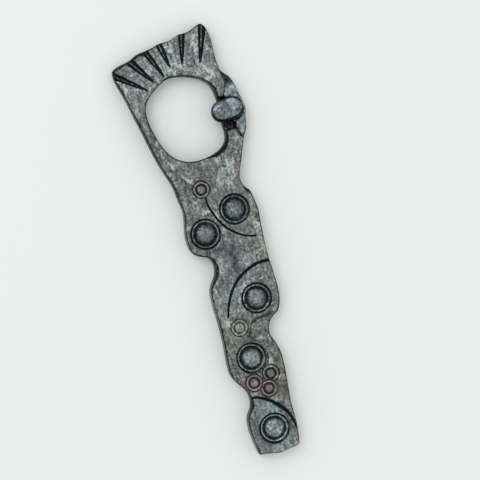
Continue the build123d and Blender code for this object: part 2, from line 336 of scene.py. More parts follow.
# -------- outline
def level_loops(node, height):
    """Closed loops, longest first, where a CAD node's surface crosses a level plane."""
    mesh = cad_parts[node].data
    mesh.calc_loop_triangles()
    places = np.array([vertex.co for vertex in mesh.vertices]) / MM - (*DRAWING_SHIFT, height)
    links = {}
    for triangle in mesh.loop_triangles:
        corners = places[list(triangle.vertices)]
        above = corners[:, 2] >= 0.0
        if above.all() or not above.any():
            continue
        ends = []
        for p, q in zip(corners, np.roll(corners, -1, axis=0)):
            if (p[2] >= 0.0) != (q[2] >= 0.0):
                cut = p + (q - p) * p[2] / (p[2] - q[2])
                ends.append((round(float(cut[0]), 3), round(float(cut[1]), 3)))
        if ends[0] != ends[1]:
            links.setdefault(ends[0], []).append(ends[1])
            links.setdefault(ends[1], []).append(ends[0])
    loops = []
    while links:
        here = next(iter(links))
        loop = []
        while here is not None:
            loop.append(here)
            onward = [place for place in links.pop(here) if place in links]
            here = onward[0] if onward else None
        loops.append(np.array(loop))
    return sorted(loops, key=loop_length, reverse=True)


def loop_length(loop):
    """The length of a closed loop."""
    return float(np.linalg.norm(np.roll(loop, -1, axis=0) - loop, axis=1).sum())


def even_loop(loop, step):
    """The same closed loop, with its points an even step apart, anticlockwise."""
    closed = np.vstack([loop, loop[:1]])
    passed = np.concatenate([[0.0], np.cumsum(np.linalg.norm(np.diff(closed, axis=0), axis=1))])
    marks = np.linspace(0.0, passed[-1], round(passed[-1] / step), endpoint=False)
    even = np.column_stack([np.interp(marks, passed, closed[:, axis]) for axis in (0, 1)])
    following = np.roll(even, -1, axis=0)
    area = (even[:, 0] * following[:, 1] - following[:, 0] * even[:, 1]).sum()
    return even if area > 0 else even[::-1]


def inside(x, y, loops):
    """Whether each point is within the first loop and outside the others."""
    within = np.zeros(x.shape, bool)
    for loop in loops:
        for p, q in zip(loop, np.roll(loop, -1, axis=0)):
            if p[1] != q[1]:
                spans = (p[1] > y) != (q[1] > y)
                within ^= spans & (x < p[0] + (q[0] - p[0]) * (y - p[1]) / (q[1] - p[1]))
    return within


def search_tree(points):
    """A tree that finds the nearest of the points."""
    tree = KDTree(len(points))
    for index, (px, py) in enumerate(points):
        tree.insert((px, py, 0.0), index)
    tree.balance()
    return tree


def edge_distance(x, y, loops):
    """Distance of each point from the nearest of the loops."""
    starts = np.vstack(loops)
    ends = np.vstack([np.roll(loop, -1, axis=0) for loop in loops])
    before = np.vstack([np.roll(loop, 1, axis=0) for loop in loops])
    tree = search_tree(starts)
    nearest = np.array([tree.find((px, py, 0.0))[1] for px, py in zip(x, y)])
    gaps = []
    for others in (ends, before):
        run = others[nearest] - starts[nearest]
        off = np.column_stack([x, y]) - starts[nearest]
        share = np.clip((off * run).sum(axis=1) / (run * run).sum(axis=1), 0.0, 1.0)
        gaps.append(np.linalg.norm(off - share[:, None] * run, axis=1))
    return np.minimum(*gaps)


def rim_inward(loops):
    """Unit directions into the metal, for each point of the loops."""
    found = []
    for index, loop in enumerate(loops):
        along = np.roll(loop, -1, axis=0) - np.roll(loop, 1, axis=0)
        along /= np.linalg.norm(along, axis=1)[:, None]
        found.append(np.column_stack([-along[:, 1], along[:, 0]]) * (1.0 if index == 0 else -1.0))
    return np.vstack(found)


def inset_points(loops, distance):
    """Points a distance inside the loops, left out where the plan is too narrow for them."""
    points = np.vstack(loops) + rim_inward(loops) * distance
    return points[edge_distance(*points.T, loops) > 0.93 * distance]


# -------- struck face
class Skin:
    """The struck face, point by point: place, height, how the patina took there, and where light and shade
    are painted.
    """

    def __init__(self, x, y, edge):
        self.x, self.y, self.edge = x, y, edge
        self.z = face_height(y)
        self.patina_and_shade = np.zeros_like(x)
        self.smooth = HANDLE_SMOOTH * (1.0 - smoothstep(*HANDLE_FADE_Y, y))
        self.warm = np.zeros_like(x)
        self.wear_and_painted_light = np.zeros_like(x)
        self.cool = COOL_FACE * smoothstep(0.8, 4.0, edge)
        for patches, layer in ((WEAR_AND_SHADOW_PATCHES, self.wear_and_painted_light), (COOL_PATCHES, self.cool)):
            for middle, sizes, amount in patches:
                layer += amount * bump(x, y, middle, sizes)
        for start, end, half, amount in RUBS:
            offset, _ = beside_path(x, y, np.array([start, end]))
            self.wear_and_painted_light += amount * np.exp(-(offset / half) ** 2)

    def darken(self, amount):
        """Darkens the patina and painted shade to at least the amount."""
        self.patina_and_shade = np.maximum(self.patina_and_shade, amount)


def face_height(y):
    """Height of the unstruck face above the back: the bar is drawn thinner to the fan's edge."""
    share = np.clip((y - TAPER_START_Y) / (TAPER_END_Y - TAPER_START_Y), 0.0, 1.0)
    return BODY_TOP - share * (BODY_TOP - FAN_THICKNESS)


def hammer_face(skin):
    """The hammer's ups and downs, and the soft hollows of its ball face."""
    for height, size, seed, waves in HAMMER_WAVES:
        skin.z += height * rolling(skin.x, skin.y, size, seed, waves)
    for middle, sizes, depth in SOFT_HOLLOWS:
        hill = bump(skin.x, skin.y, middle, sizes)
        skin.z -= depth * hill
        skin.smooth = np.maximum(skin.smooth, 0.5 * hill)


def round_edge(skin):
    """Rolls the face down to the edge, with a crisp dark border where the edge was worked."""
    width = np.full_like(skin.x, EDGE_WIDTH)
    drop = np.full_like(skin.x, EDGE_DROP)
    crisp = np.zeros_like(skin.x)
    dark = np.full_like(skin.x, EDGE_PATINA)
    for middle, reach, more_width, more_drop, patina_and_shade in WORKED_EDGES:
        hill = bump(skin.x, skin.y, middle, (reach, reach))
        width += more_width * hill
        drop += more_drop * hill
        dark += (patina_and_shade - dark) * hill
        crisp = np.maximum(crisp, hill)
    width *= 1.0 + EDGE_RAGGED * rolling(skin.x, skin.y, 5.0, 4)
    out = np.clip(1.0 - skin.edge / width, 0.0, 1.0)
    skin.z -= drop * (1.0 - np.sqrt(1.0 - out**2))
    dark_from = 0.4 * (1.0 - crisp)
    skin.darken(dark * smoothstep(0.0, 0.25, out - dark_from))


def step_facet(skin, facet):
    """A faint step where two hammered facets meet, with a painted shadow beside it."""
    points, drop, patina_and_shade = facet
    offset, passed = beside_path(skin.x, skin.y, smooth_path(points, 1.0))
    ends = smoothstep(0.0, 0.12, passed) * (1.0 - smoothstep(0.88, 1.0, passed))
    away = 1.0 - smoothstep(0.5 * FACET_REACH, FACET_REACH, offset)
    skin.z -= drop * ends * away * smoothstep(-FACET_BLEND, FACET_BLEND, offset)
    thinned = 1.0 - FACET_THINNING * smoothstep(0.5, 0.8, passed)
    # Painted shadow beside the step, laid into the dark patina mark
    shade = np.exp(-((offset + FACET_SHADE_SHIFT) / FACET_SHADE_REACH) ** 2)
    skin.darken(patina_and_shade * thinned * ends * shade)


def strike_mark(skin, punch, strike):
    """Presses one ring punch into the face. A later strike wipes out what it covers."""
    middle, turn, tilt, redness, shine, coolness = strike
    radius = np.hypot(skin.x - middle[0], skin.y - middle[1])
    reach = punch[-1][0]
    turned = np.arctan2(skin.y - middle[1], skin.x - middle[0]) - math.radians(turn)
    deeper = 1.0 + tilt * np.cos(turned) * radius / reach
    cover = 1.0 - smoothstep(0.9 * reach, reach, radius)
    flat = face_height(middle[1])
    struck = flat + LEFT_UNDER_MARK * (skin.z - flat) + across(punch, 1, radius) * deeper
    skin.z += cover * (struck - skin.z)
    patina_and_shade = across(punch, 2, radius) ** (1.0 + 0.6 * shine) * np.clip(deeper, 0.0, 1.0)
    skin.patina_and_shade += cover * (patina_and_shade - skin.patina_and_shade)
    dome = 1.0 - smoothstep(0.72 * reach, 0.8 * reach, radius)
    skin.smooth = np.maximum(skin.smooth, 0.5 * dome)
    skin.cool += cover * (coolness - skin.cool)
    skin.wear_and_painted_light += cover * (shine - skin.wear_and_painted_light)
    skin.warm = np.maximum(skin.warm * (1.0 - cover), redness * cover)


def chisel_half(width, left):
    """Half the width of a cut, by the share of it that is left before its tip."""
    return 0.5 * width * left**CHISEL_TAPER + CHISEL_TIP


def cut_with_chisel(skin, cut):
    """One tapered cut in the fan, open at the edge and running out at its tip."""
    mouth, tip, width, depth = cut
    offset, passed = beside_path(skin.x, skin.y, np.array([mouth, tip]))
    left = 1.0 - passed
    share = np.abs(offset) / chisel_half(width, left)
    fade = smoothstep(0.0, 0.12, left)
    skin.z += across(CHISEL_SECTION, 1, share) * depth * left**0.7
    skin.darken(across(CHISEL_SECTION, 2, share) * fade)
    skin.darken(smoothstep(0.4, 0.65, passed) * (1.0 - smoothstep(0.7, 1.0, share)) * fade)


def chase_line(skin, line):
    """One chased line, narrow at its ends."""
    points, halves = line
    offset, passed = beside_path(skin.x, skin.y, smooth_path(points, 0.6))
    half = np.interp(passed, (0.0, 0.5, 1.0), halves)
    share = np.abs(offset) / half
    skin.z += across(CHASED_SECTION, 1, share) * CHASED_DEPTH
    skin.darken(across(CHASED_SECTION, 2, share))


# -------- rim beside the lug
def from_lug(x, y):
    """Distance outside the lug's pill-shaped plan, negative within it."""
    along = (x - LUG_MIDDLE[0]) * math.cos(LUG_LEAN) + (y - LUG_MIDDLE[1]) * math.sin(LUG_LEAN)
    beside = (y - LUG_MIDDLE[1]) * math.cos(LUG_LEAN) - (x - LUG_MIDDLE[0]) * math.sin(LUG_LEAN)
    past = np.maximum(np.abs(along) - LUG_HALF_STRAIGHT, 0.0)
    return np.hypot(past, beside) - LUG_RADIUS


def press_crease(skin, points, reach, depth):
    """A blunt crease with dark patina at its bottom."""
    offset, _ = beside_path(skin.x, skin.y, smooth_path(points, 0.5))
    offset = np.abs(offset) + 0.25 * rolling(skin.x, skin.y, 1.4, 15)
    sunk = 1.0 - smoothstep(0.5 * reach, 1.2 * reach, offset)
    skin.z -= depth * sunk
    skin.darken((0.86 + 0.1 * rolling(skin.x, skin.y, 0.7, 10)) * smoothstep(0.05, 0.6, sunk))


def hollow_upper_leaf(skin, near):
    """The leaf between the fan's pad and the lug, deepest and darkest at its tip."""
    offset, _ = beside_path(skin.x, skin.y, smooth_path(PAD_EDGE, 0.8))
    near = near * smoothstep(47.0, 49.0, skin.y)
    leaf = smoothstep(-0.1, 0.45, offset) * near
    skin.z -= leaf * (UPPER_LEAF_DEPTH + UPPER_LEAF_TIP * smoothstep(56.0, 62.0, skin.y))
    skin.darken(0.84 * smoothstep(56.2, 59.4, skin.y) ** 0.6 * leaf)
    skin.darken(0.85 * np.exp(-((offset - 0.15) / 0.35) ** 2) * near)
    return leaf


def hollow_lower_leaf(skin, near):
    """The leaf between the lug and the handle, with a dark groove along its edge."""
    offset, _ = beside_path(skin.x, skin.y, smooth_path(LOWER_EDGE, 0.8))
    is_lower = 1.0 - smoothstep(45.0, 47.0, skin.y)
    leaf = smoothstep(0.0, 0.7, offset) * is_lower * near
    skin.z -= LOWER_LEAF_DEPTH * leaf
    reach = 0.5 + 0.5 * bump(skin.x, skin.y, (17.6, 38.2), (2.0, 1.6))
    groove = np.exp(-((offset - 0.1) / reach) ** 2) * smoothstep(35.5, 38.0, skin.y) * is_lower
    skin.z -= 0.5 * groove
    skin.darken(0.9 * groove)
    skin.darken(0.6 * np.exp(-(offset / 1.1) ** 2) * leaf)
    return leaf


def cut_seat(skin, near):
    """The lug's seat, and the dark gap round the lug."""
    gap = from_lug(skin.x, skin.y)
    skin.z -= 0.5 * np.exp(-((gap - 0.1) / 0.5) ** 2) * near
    skin.darken(np.exp(-(np.maximum(gap, 0.0) / 0.5) ** 2) * near)
    seat = LUG_SEAT + 0.4 + 2.0 * smoothstep(-0.9, -0.1, gap)
    skin.z = np.where(gap < 0.0, np.minimum(skin.z, seat), skin.z)


def work_rim(skin):
    """The two leaf-shaped hollows beside the lug, the creases between, and the lug's seat."""
    x, y = skin.x, skin.y
    near = smoothstep(33.0, 37.0, y) * (1.0 - smoothstep(64.0, 66.5, y)) * smoothstep(8.0, 11.0, x)
    upper_leaf = hollow_upper_leaf(skin, near)
    lower_leaf = hollow_lower_leaf(skin, near)
    leaf = np.maximum(upper_leaf, lower_leaf)
    skin.z += 0.12 * rolling(x, y, 1.6, 8) * leaf
    skin.smooth = np.maximum(skin.smooth, 0.5 * leaf)
    skin.cool = np.maximum(skin.cool, 0.8 * leaf)
    blotch = 0.45 * rolling(x, y, 1.1, 9)
    skin.wear_and_painted_light += upper_leaf * (1.5 + blotch - skin.wear_and_painted_light) + lower_leaf * (0.6 + blotch - skin.wear_and_painted_light)
    outer_side = bump(x, y, (22.5, 50.0), (2.2, 7.0))
    skin.patina_and_shade *= 1.0 - 0.8 * outer_side * smoothstep(0.0, 0.3, 0.7 - skin.edge)
    skin.darken(0.7 * np.exp(-((skin.edge - 0.95) / 0.25) ** 2) * smoothstep(0.2, 0.5, outer_side))
    press_crease(skin, LOWER_CREVICE, 1.7, 1.5)
    press_crease(skin, UPPER_CREASE, 0.75, 0.9)
    cut_seat(skin, near)


def shape_face(x, y, edge):
    """The struck face at each point, with everything the smith did to it, in order."""
    skin = Skin(x, y, edge)
    hammer_face(skin)
    round_edge(skin)
    work_rim(skin)
    for facet in FACET_EDGES:
        step_facet(skin, facet)
    for line in CHASED_LINES:
        chase_line(skin, line)
    for punch, strikes in PUNCHED:
        for strike in strikes:
            strike_mark(skin, punch, strike)
    for cut in CHISEL_CUTS:
        cut_with_chisel(skin, cut)
    return skin


def shape_back(x, y, edge):
    """Height of the back: nearly flat, with a rolled edge and shallow hammer marks."""
    out = np.clip(1.0 - edge / BACK_EDGE, 0.0, 1.0)
    hammer = 0.05 * (1.0 + rolling(x, y, 8.0, 5)) + 0.02 * (1.0 + rolling(x, y, 2.5, 6))
    sunk = 1.0 - smoothstep(TENON_RADIUS, COUNTERSINK, from_tenon(x, y))
    rolled = BACK_EDGE * (1.0 - np.sqrt(1.0 - out**2))
    return np.maximum(hammer, BACK_LOWEST) + COUNTERSINK_DEPTH * sunk + rolled


def from_tenon(x, y):
    """Distance from the middle of the tenon."""
    return np.hypot(x - TENON_MIDDLE[0], y - TENON_MIDDLE[1])


# -------- mesh of the bar
def circle_points(middle, radius):
    """Points round a circle, about a guide's step apart."""
    turns = np.arange(0.0, 2.0 * math.pi, GUIDE_STEP / radius)
    return np.column_stack([middle[0] + radius * np.cos(turns), middle[1] + radius * np.sin(turns)])


def beside_points(path, halves, section):
    """Points on both sides of a path, at each of a section's shares of its half widths."""
    along = np.gradient(path, axis=0)
    side = np.column_stack([-along[:, 1], along[:, 0]]) / np.linalg.norm(along, axis=1)[:, None]
    shares = [way * row[0] for row in section for way in (-1.0, 1.0)]
    return np.vstack([path + side * (share * halves)[:, None] for share in shares])


def countersink_points():
    """Points on rings about the tenon's end, for the mesh of the back."""
    radii = np.arange(TENON_RADIUS - 0.3, COUNTERSINK + 0.3, 0.15)
    return np.vstack([circle_points(TENON_MIDDLE, radius) for radius in radii])


def guide_points():
    """Points that follow the marks, the cuts and the lines, so that the mesh keeps them crisp."""
    points = []
    for punch, strikes in PUNCHED:
        radii = [row[0] for row in punch if row[0] > 1.0]
        points += [circle_points(strike[0], radius) for strike in strikes for radius in radii]
    for mouth, tip, width, _ in CHISEL_CUTS:
        passed = np.linspace(0.0, 1.0, round(math.dist(mouth, tip) / GUIDE_STEP))
        path = np.array(mouth) + passed[:, None] * (np.array(tip) - np.array(mouth))
        points.append(beside_points(path, chisel_half(width, 1.0 - passed), CHISEL_SECTION))
    for route, halves in CHASED_LINES:
        path = smooth_path(route, 0.25)
        passed = np.linspace(0.0, 1.0, len(path))
        points.append(beside_points(path, np.interp(passed, (0.0, 0.5, 1.0), halves), CHASED_SECTION))
    return np.vstack([*points, smooth_path(PAD_EDGE, GUIDE_STEP), smooth_path(LOWER_EDGE, GUIDE_STEP)])


def thin_out(points, gap):
    """The points without those that share a small square with an earlier one."""
    cells = np.floor(points / gap).astype(int)
    _, first = np.unique(cells, axis=0, return_index=True)
    return points[np.sort(first)]


def lattice(loops, step):
    """A triangular lattice of points over the plan's box, kept where they fall inside."""
    low, high = loops[0].min(axis=0), loops[0].max(axis=0)
    row_step = step * math.sqrt(0.75)
    rows = []
    for index, y in enumerate(np.arange(low[1], high[1], row_step)):
        x = np.arange(low[0] + (index % 2) * step / 2, high[0], step)
        rows.append(np.column_stack([x, np.full_like(x, y)]))
    points = np.vstack(rows)
    return points[inside(*points.T, loops)]


def away_from(points, others, gap):
    """The points that are further than the gap from all the others."""
    tree = search_tree(others)
    gaps = np.array([tree.find((px, py, 0.0))[2] for px, py in points])
    return points[gaps > gap]


def loop_numbers(loops):
    """For each loop, the numbers of its points in order, and those of the points that follow."""
    start = 0
    for loop in loops:
        here = start + np.arange(len(loop))
        yield here, np.roll(here, -1)
        start += len(loop)


def fill_plan(loops, guides, step):
    """Triangles over the plan: the loops' points come first, in order, then all the others."""
    rim = np.vstack(loops)
    guides = guides[inside(*guides.T, loops)]
    guides = away_from(thin_out(guides, GUIDE_GAP), rim, RIM_GAP)
    others = np.vstack([rim, guides])
    grid = away_from(lattice(loops, step), others, 0.5 * step)
    points = np.vstack([others, grid])
    edges = np.vstack([np.column_stack(numbers) for numbers in loop_numbers(loops)]).tolist()
    found = delaunay_2d_cdt([Vector(point) for point in points], edges, [], 0, 1e-6, True)
    places = np.array([tuple(place) for place in found[0]])
    triangles = np.array([face for face in found[2] if len(face) == 3])
    order = np.full(len(places), -1)
    for place, sources in enumerate(found[3]):
        if sources:
            order[place] = min(sources)
    on_rim = (order[triangles] < len(rim)).all(axis=1)
    middles = places[triangles].mean(axis=1)
    sides = places[triangles[:, 1:]] - places[triangles[:, :1]]
    areas = 0.5 * np.abs(sides[:, 0, 0] * sides[:, 1, 1] - sides[:, 0, 1] * sides[:, 1, 0])
    keep = ~on_rim
    keep[on_rim] = inside(*middles[on_rim].T, loops) & (areas[on_rim] > SLIVER_AREA)
    return points, order[triangles[keep]]


def build_body(loops):
    """The forging's mesh: struck face, back, and the wall between them."""
    rim_count = sum(len(loop) for loop in loops)
    rings = [inset_points(loops, gap) for gap in TOP_RINGS]
    top, top_faces = fill_plan(loops, np.vstack([*rings, guide_points()]), TOP_STEP)
    skin = shape_face(*top.T, edge_distance(*top.T, loops))
    rings = [inset_points(loops, gap) for gap in BACK_RINGS]
    back, back_faces = fill_plan(loops, np.vstack([*rings, countersink_points()]), BACK_STEP)
    back_z = shape_back(*back.T, edge_distance(*back.T, loops))
    wall = wall_places(loops, top[:rim_count], skin.z[:rim_count], back_z[:rim_count])
    places = np.vstack([np.column_stack([top, skin.z]), np.column_stack([back, back_z]), wall])
    faces = [tuple(face) for face in top_faces]
    faces += [tuple(face[::-1] + len(top)) for face in back_faces]
    faces += wall_faces(loops, len(top), len(top) + len(back))
    spare = len(back) + len(wall)
    marks = {
        "patina_and_shade": np.concatenate([skin.patina_and_shade, back_patina(*back.T), wall_patina(*wall.T[:2])]),
        "smooth": np.concatenate([skin.smooth, np.full(spare, 0.45)]),
        "warm": np.concatenate([skin.warm, np.zeros(spare)]),
        "wear_and_painted_light": np.concatenate([skin.wear_and_painted_light, 0.6 * rolling(*back.T, 6.0, 22), np.zeros(len(wall))]),
        "cool": np.concatenate([skin.cool, np.full(spare, 0.2)]),
    }
    return make_piece("forged_body", places, faces, marks)


def back_patina(x, y):
    """Uneven patina on the back, and a dark ring round the tenon's end."""
    ring = 1.0 - smoothstep(0.0, 0.4, np.abs(from_tenon(x, y) - TENON_RADIUS - 0.2))
    return 0.15 + 0.12 * rolling(x, y, 9.0, 21) + 0.7 * ring


def wall_patina(x, y):
    """Patina on the side walls, darker on the head than on the handle."""
    patina_and_shade = WALL_PATINA + WALL_PATINA_HEAD * smoothstep(8.0, 30.0, y)
    for middle, sizes, amount in WALL_PATCHES:
        patina_and_shade += amount * bump(x, y, middle, sizes)
    return np.minimum(patina_and_shade, WALL_PATINA_MOST)


def wall_places(loops, rim, rim_top, rim_low):
    """The rows of points between the rims of the struck face and the back, slightly dented."""
    inward = rim_inward(loops)
    rows = []
    for row in range(1, WALL_ROWS):
        share = row / WALL_ROWS
        height = rim_top + (rim_low - rim_top) * share
        dent = WALL_DENT * (1.0 + rolling(rim[:, 0], rim[:, 1] + 2.0 * height, 3.0, 7))
        dent = np.maximum(dent, 0.0) * math.sin(math.pi * share) ** 0.5
        rows.append(np.column_stack([rim + inward * dent[:, None], height]))
    return np.vstack(rows)


def wall_faces(loops, back_start, wall_start):
    """Quads down the wall, from the struck face's rim through the wall's rows to the back's rim."""
    rim_count = sum(len(loop) for loop in loops)
    row_starts = [0, *(wall_start + row * rim_count for row in range(WALL_ROWS - 1)), back_start]
    faces = []
    for index, (here, onward) in enumerate(loop_numbers(loops)):
        turn = -1 if index == 0 else 1
        for upper, lower in zip(row_starts[:-1], row_starts[1:]):
            quads = np.column_stack([upper + here, upper + onward, lower + onward, lower + here])
            faces += [tuple(quad[::turn]) for quad in quads]
    return faces


def make_piece(name, places, faces, marks):
    """A smooth-shaded mesh object with one float attribute for each mark."""
    mesh = bpy.data.meshes.new(name)
    mesh.from_pydata([tuple(place) for place in (places + (*DRAWING_SHIFT, 0.0)) * MM], [], faces)
    mesh.validate()
    for mark, values in marks.items():
        layer = mesh.attributes.new(mark, "FLOAT", "POINT")
        layer.data.foreach_set("value", np.asarray(values, np.float32))
    mesh.shade_smooth()
    mesh.update()
    return add_object(name, mesh)


def add_object(name, data):
    """A new object in the scene."""
    added = bpy.data.objects.new(name, data)
    bpy.context.scene.collection.objects.link(added)
    return added


# -------- cap lug
def wrap(point_at):
    """Points and faces of a closed round shape, from its crown down to its underside."""
    rows = [[point_at(math.pi * row / LUG_ROWS, 2.0 * math.pi * column / LUG_TURNS)
             for column in range(LUG_TURNS)] for row in range(1, LUG_ROWS)]
    places = [point_at(0.0, 0.0)] + sum(rows, []) + [point_at(math.pi, 0.0)]
    last = len(places) - 1
    faces = []
    for column in range(LUG_TURNS):
        onward = (column + 1) % LUG_TURNS
        faces.append((0, 1 + column, 1 + onward))
        faces.append((last, last - LUG_TURNS + onward, last - LUG_TURNS + column))
        for row in range(LUG_ROWS - 2):
            upper, lower = 1 + row * LUG_TURNS, 1 + (row + 1) * LUG_TURNS
            faces.append((upper + column, lower + column, lower + onward, upper + onward))
    return np.array(places), faces


def build_lug():
    """The lug: a round-ended stud with a crease between its two lobes, and its peened tenon."""
    places, faces = wrap(lug_point)
    x, y, _ = places.T
    upper, crease, ring = lug_features(places)
    height = 0.05 * rolling(x, y, 2.6, 11) + 0.02 * rolling(x, y, 1.0, 12)
    height -= 0.3 * np.exp(-(crease / 0.45) ** 2) + 0.1 * np.exp(-(ring / 0.35) ** 2)
    places[:, 2] += height * upper
    tenon, tenon_faces = wrap(tenon_point)
    tenon[:, 2] += np.maximum(0.05 * rolling(tenon[:, 0], tenon[:, 1], 1.2, 14), 0.02 - TENON_END)
    faces += [tuple(corner + len(places) for corner in face) for face in tenon_faces]
    places = np.vstack([places, tenon])
    return make_piece("lug_stud", places, faces, lug_marks(places))


def lug_features(places):
    """Whether points are on the lug's top, and how far right of its crease and out of its ring."""
    x, y, z = places.T
    crease, _ = beside_path(x, y, smooth_path(LUG_CREASE, 0.4))
    ring = np.hypot(x - LUG_RING[0], y - LUG_RING[1])
    return smoothstep(5.5, 7.5, z), crease - LUG_CREASE_SHIFT, ring - LUG_RING_RADIUS


def lug_marks(places):
    """How the patina took on the lug and on its tenon's end, with painted shade round the lug's sides, widest
    on its lower side, and painted highlights on its top.
    """
    x, y, z = places.T
    upper, crease, ring = lug_features(places)
    # Painted shade: the lug's sides are darkened all round, in a band that is wider on its lower side
    low_side = np.clip((LUG_MIDDLE[1] - y) / LUG_RADIUS, 0.0, 1.0)
    shade = smoothstep(0.0, 0.6, from_lug(x, y) + 0.75 + 1.2 * low_side) * smoothstep(2.5, 3.5, z)
    tenon_edge = smoothstep(2.2, 2.7, from_tenon(x, y)) * (z < 2.5)
    wear_and_painted_light = 1.3 * smoothstep(-0.5, 0.3, crease) - 0.1 + 0.35 * rolling(x, y, 1.2, 13)
    # Painted highlights and painted shade on the lug
    for middle, sizes, amount in LUG_HIGHLIGHTS_AND_SHADE:
        wear_and_painted_light += amount * bump(x, y, middle, sizes)
    return {
        "patina_and_shade": np.maximum.reduce([0.95 * shade, 0.6 * np.exp(-(ring / 0.28) ** 2) * upper,
                                     0.6 * np.exp(-(crease / 0.3) ** 2) * upper, 0.9 * tenon_edge]),
        "smooth": np.full_like(x, 0.55),
        "warm": np.zeros_like(x),
        "wear_and_painted_light": wear_and_painted_light,
        "cool": 0.6 + 0.4 * smoothstep(-1.1, 0.9, crease),
    }


def tenon_point(down, turn):
    """A point on the tenon's peened end, which fills its countersink in the back."""
    out = TENON_RADIUS * math.sin(down) ** 0.5
    lift = math.copysign(abs(math.cos(down)) ** 0.6, math.cos(down))
    return (TENON_MIDDLE[0] + out * math.cos(turn), TENON_MIDDLE[1] + out * math.sin(turn),
            TENON_END + TENON_HALF * (1.0 + lift))


def lug_point(down, turn):
    """A point on the lug: down is 0 at its crown and half a turn underneath."""
    out = math.sin(down) ** 0.72
    along = LUG_RADIUS * math.cos(turn) * out + LUG_HALF_STRAIGHT * math.tanh(3.0 * math.cos(turn)) * out
    beside = LUG_RADIUS * math.sin(turn) * out
    middle = 0.55 * LUG_FOOT + 0.45 * LUG_TOP
    rise = LUG_TOP - middle if down < math.pi / 2 else middle - LUG_FOOT
    lift = math.copysign(abs(math.cos(down)) ** 0.75, math.cos(down))
    x = LUG_MIDDLE[0] + along * math.cos(LUG_LEAN) - beside * math.sin(LUG_LEAN)
    y = LUG_MIDDLE[1] + along * math.sin(LUG_LEAN) + beside * math.cos(LUG_LEAN)
    return x, y, middle + rise * lift


# -------- materials
# The marks painted on the meshes, and how bright the steel is at each level of its mottle
MARKS = ("smooth", "patina_and_shade", "warm", "wear_and_painted_light", "cool")
STEEL_LEVELS = ((0.36, 0.045), (0.45, 0.12), (0.5, 0.178), (0.56, 0.275), (0.66, 0.56))

# Colours of brown bloom, of bare flecks, of reddened steel, and of sunk patina plain and reddened; the plain
# dark one also colours the painted shade
BROWN = (0.185, 0.162, 0.12, 1.0)
FLECK = (0.46, 0.49, 0.48, 1.0)
REDDENED = (0.27, 0.19, 0.18, 1.0)
SUNK_AND_SHADE = (0.0037, 0.0054, 0.0074, 1.0)
SUNK_REDDENED = (0.03, 0.009, 0.0095, 1.0)

# Casts that multiply the colour, of plain steel, cool steel and the two pieces, and the gloss
PLAIN_CAST = (0.955, 1.0, 0.935, 1.0)
COOL_CAST = (0.81, 0.985, 1.04, 1.0)
BODY_CAST = (1.0, 1.0, 1.0, 1.0)
LUG_CAST = (0.95, 1.0, 1.06, 1.0)
METALLIC = 0.85
SPECULAR = 0.3
PIT_STRENGTH = 0.6
PIT_DEPTH = 0.12
# The drawn-out grain runs nearly along the handle
BRUSH_TURN = (0.0, 0.0, 0.2)
BRUSH_SCALE = (1.0, 0.28, 1.0)


class Nodes:
    """A material's node tree, written as short calls."""

    def __init__(self, name):
        self.material = bpy.data.materials.new(name)
        self.material.use_nodes = True
        self.tree = self.material.node_tree
        self.shader = self.tree.nodes["Principled BSDF"]

    def add(self, kind, settings=None, **sockets):
        """A node with its settings and its inputs, which are values or other nodes' outputs."""
        node = self.tree.nodes.new(kind)
        for key, value in (settings or {}).items():
            setattr(node, key, value)
        for key, value in sockets.items():
            self.plug(value, node.inputs[key.replace("_", " ")])
        return node

    def plug(self, value, socket):
        """Links an output to a socket, or sets the socket's own value."""
        if isinstance(value, bpy.types.NodeSocket):
            self.tree.links.new(value, socket)
        else:
            socket.default_value = value

    def mark(self, name):
        """A value painted on the mesh."""
        return self.add("ShaderNodeAttribute", {"attribute_name": name}).outputs["Fac"]

    def noise(self, place, size, detail=4.0, rough=0.55, warp=0.0):
        """Noise whose patches are about size millimetres across."""
        return self.add("ShaderNodeTexNoise", Vector=place, Scale=1.0 / (size * MM), Detail=detail,
                        Roughness=rough, Distortion=warp).outputs["Fac"]

    def ramp(self, value, low, high, from_value=0.0, to_value=1.0):
        """The value's span from low to high, spread smoothly from one number to another."""
        return self.add("ShaderNodeMapRange", {"interpolation_type": "SMOOTHSTEP"}, Value=value, From_Min=low,
                        From_Max=high, To_Min=from_value, To_Max=to_value).outputs["Result"]

    def maths(self, operation, first, second=0.0):
        """One sum on two values."""
        node = self.add("ShaderNodeMath", {"operation": operation})
        self.plug(first, node.inputs[0])
        self.plug(second, node.inputs[1])
        return node.outputs[0]

    def total(self, *terms):
        """The sum of values, each times its weight. A weight without a value is a constant."""
        result = 0.0
        for value, weight in terms:
            term = weight if value is None else self.maths("MULTIPLY", value, weight)
            result = self.maths("ADD", result, term)
        return result

    def mix(self, share, first, second, blend="MIX"):
        """Two colours mixed by a share."""
        return self.add("ShaderNodeMix", {"data_type": "RGBA", "blend_type": blend},
                        Factor=share, A=first, B=second).outputs["Result"]


